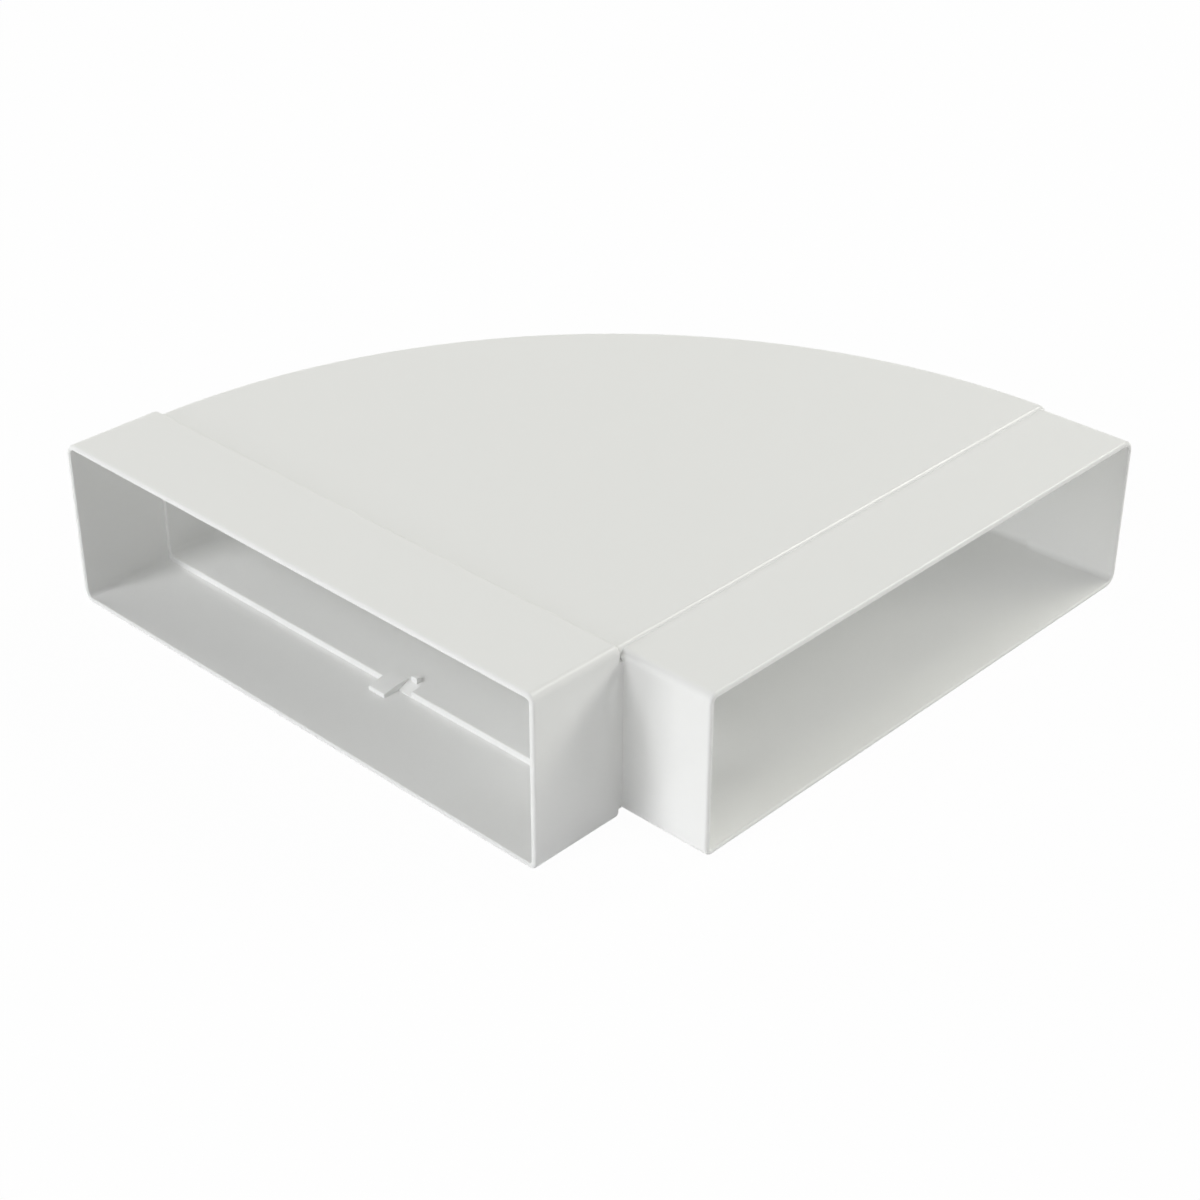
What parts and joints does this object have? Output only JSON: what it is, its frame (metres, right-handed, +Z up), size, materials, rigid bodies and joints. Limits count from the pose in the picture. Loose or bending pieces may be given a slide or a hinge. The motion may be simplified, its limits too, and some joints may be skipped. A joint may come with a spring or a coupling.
{
  "type": "flat duct horizontal bend",
  "caption": "Right-angle horizontal bend for flat rectangular duct: a moulded quarter-disc shell with a stepped socket at one end and a spigot at the other.",
  "frame": {"origin": "centre of the part's bounding box on the floor, under the middle of the plan", "axes": "+Z up, at right angles to the flat faces; +X out of the spigot; -Y out of the socket"},
  "size_m": [0.2632, 0.263, 0.0636],
  "materials": {
    "moulding": "satin off-white moulded plastic"
  },
  "bodies": {
    "root": {"duct_bend": "moulding"}
  },
  "joints": []
}
